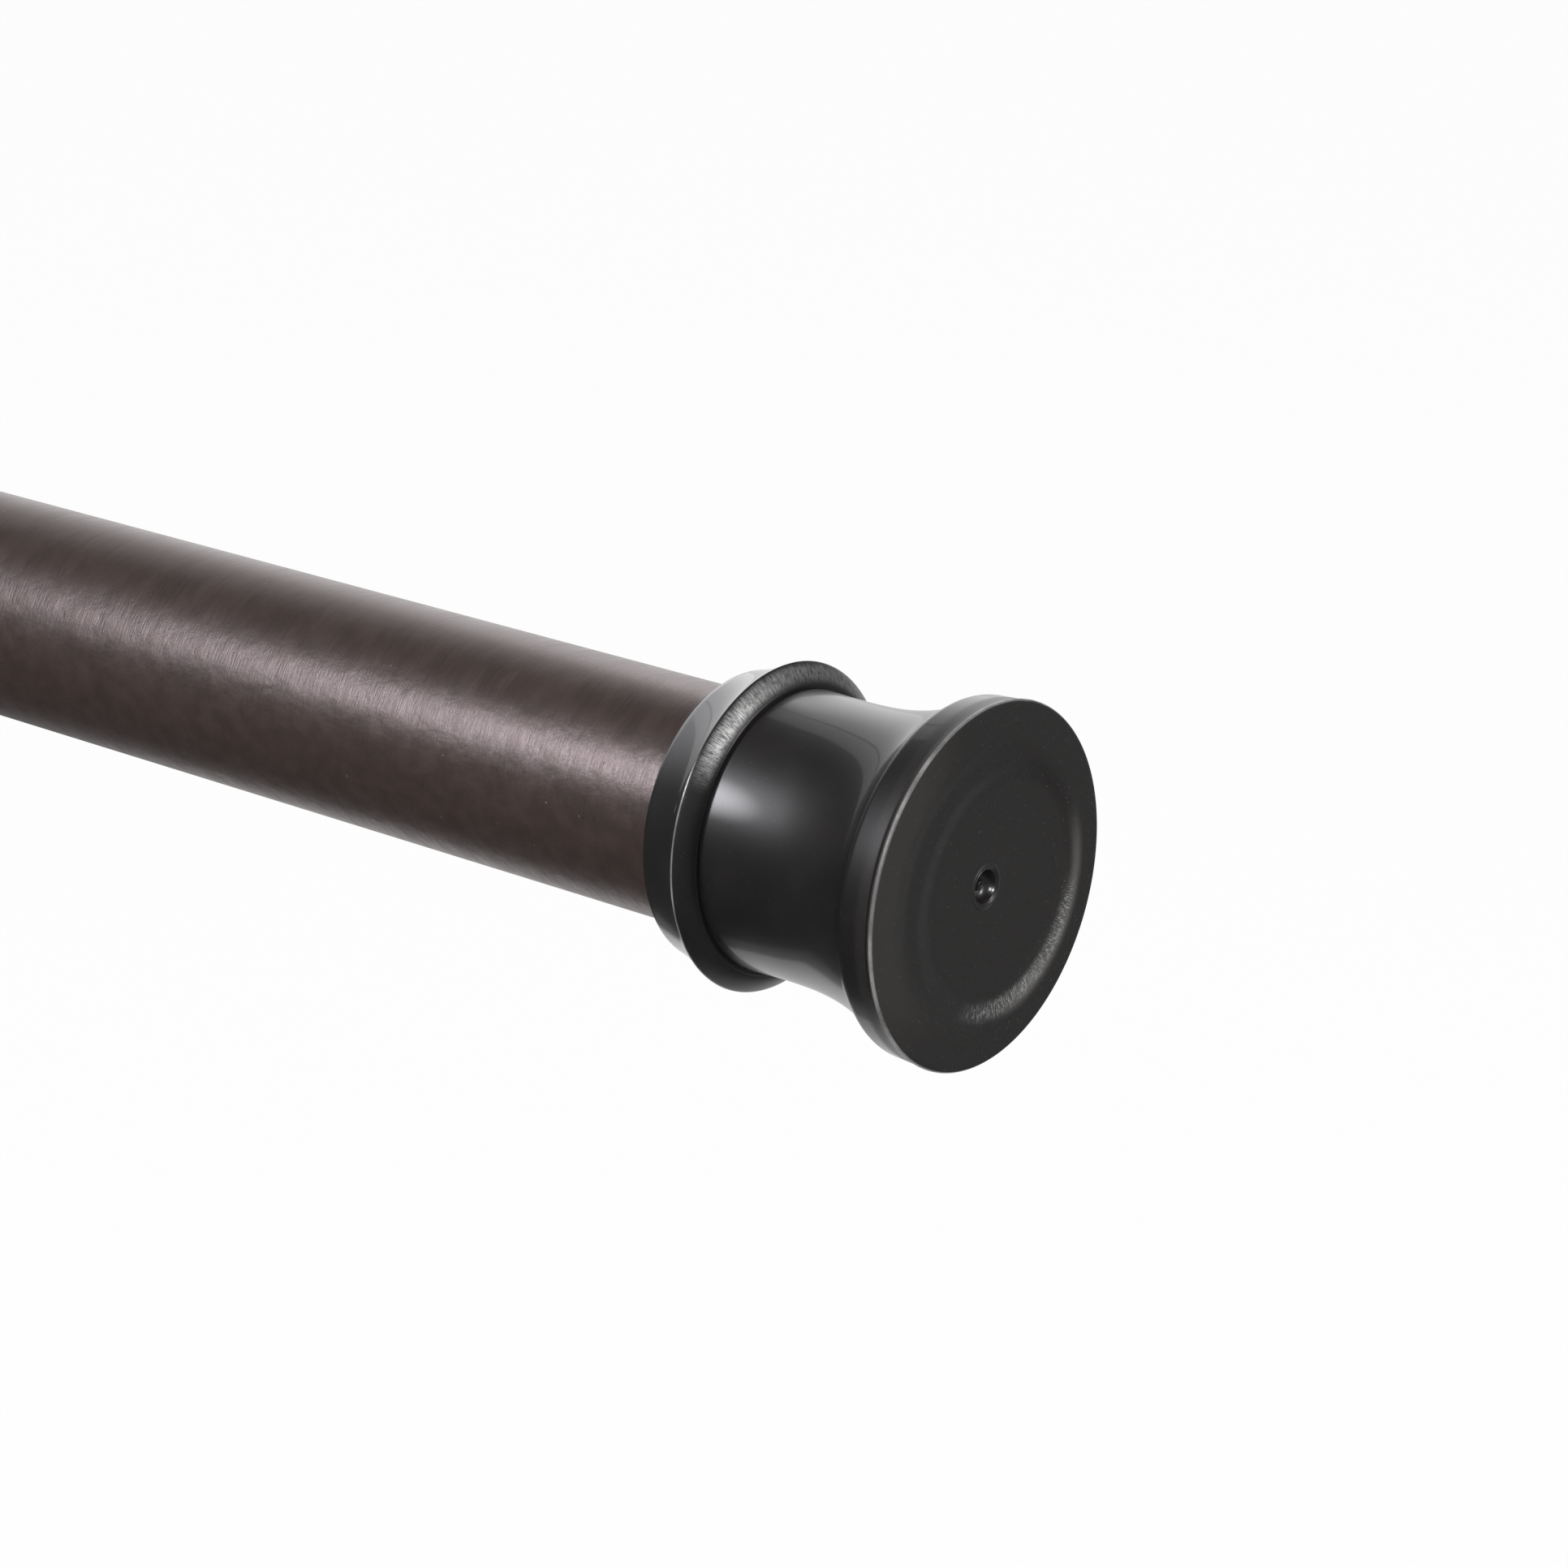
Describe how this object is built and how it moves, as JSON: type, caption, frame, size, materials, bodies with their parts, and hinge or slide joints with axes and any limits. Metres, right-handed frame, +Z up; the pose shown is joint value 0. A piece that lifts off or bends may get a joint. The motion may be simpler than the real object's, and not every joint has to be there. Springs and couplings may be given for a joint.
{
  "type": "spring tension rod",
  "caption": "Round steel tension rod: two telescoping tubes with a twist cam lock and an inner spring, flared push-on end caps that press on two walls to carry a curtain",
  "frame": {"origin": "centre of the wall face of the cap on the larger tube", "axes": "+X out of that wall face along the rod, away from the rod; +Z up; +Y across"},
  "size_m": [0.688, 0.0382, 0.0382],
  "materials": {
    "tube_bronze": "satin",
    "cap_black": "satin",
    "moulded_black": "satin",
    "moulded_natural": "satin",
    "zinc_steel": "satin",
    "spring_steel": "satin"
  },
  "bodies": {
    "outer_assembly": {"outer_tube": "tube_bronze", "outer_end_cap": "cap_black", "outer_tube_plug": "moulded_natural"},
    "collar": {"guide_collar": "moulded_black"},
    "lock_carriage": {"lock_core": "moulded_black", "guide_rod": "zinc_steel", "lock_nut": "zinc_steel", "lock_washer": "zinc_steel", "front_spring_washer": "zinc_steel", "coil_spring": "spring_steel", "stop_washer": "zinc_steel", "stop_pin": "spring_steel"},
    "cam_ring": {"lock_ring": "moulded_natural"},
    "inner_assembly": {"inner_tube": "tube_bronze", "inner_guide_sleeve": "moulded_natural", "spring_seat_plug": "moulded_black", "back_spring_washer": "zinc_steel", "inner_tube_plug": "moulded_natural", "cap_reducer": "moulded_black", "inner_end_cap": "cap_black"}
  },
  "joints": [
    {"name": "tube_twist", "type": "hinge", "parent": "outer_assembly", "child": "collar", "pos_m": [-0.572, 0, 0], "axis": [1, 0, 0], "range_deg": [-28, 28]},
    {"name": "telescope", "type": "slide", "parent": "collar", "child": "lock_carriage", "axis": [-1, 0, 0], "range_m": [-0.05, 0.225]},
    {"name": "lock_cam", "type": "hinge", "parent": "lock_carriage", "child": "cam_ring", "pos_m": [-0.0875, 0, 0.001], "axis": [1, 0, 0], "range_deg": [-28, 28]},
    {"name": "spring_press", "type": "slide", "parent": "lock_carriage", "child": "inner_assembly", "axis": [1, 0, 0], "range_m": [0, 0.03], "stiffness_N_per_m": 1800, "springref_m": -0.01, "deforming": ["coil_spring"]}
  ],
  "couplings": [
    {"joint": "lock_cam", "follows": "tube_twist", "ratio": -1}
  ]
}
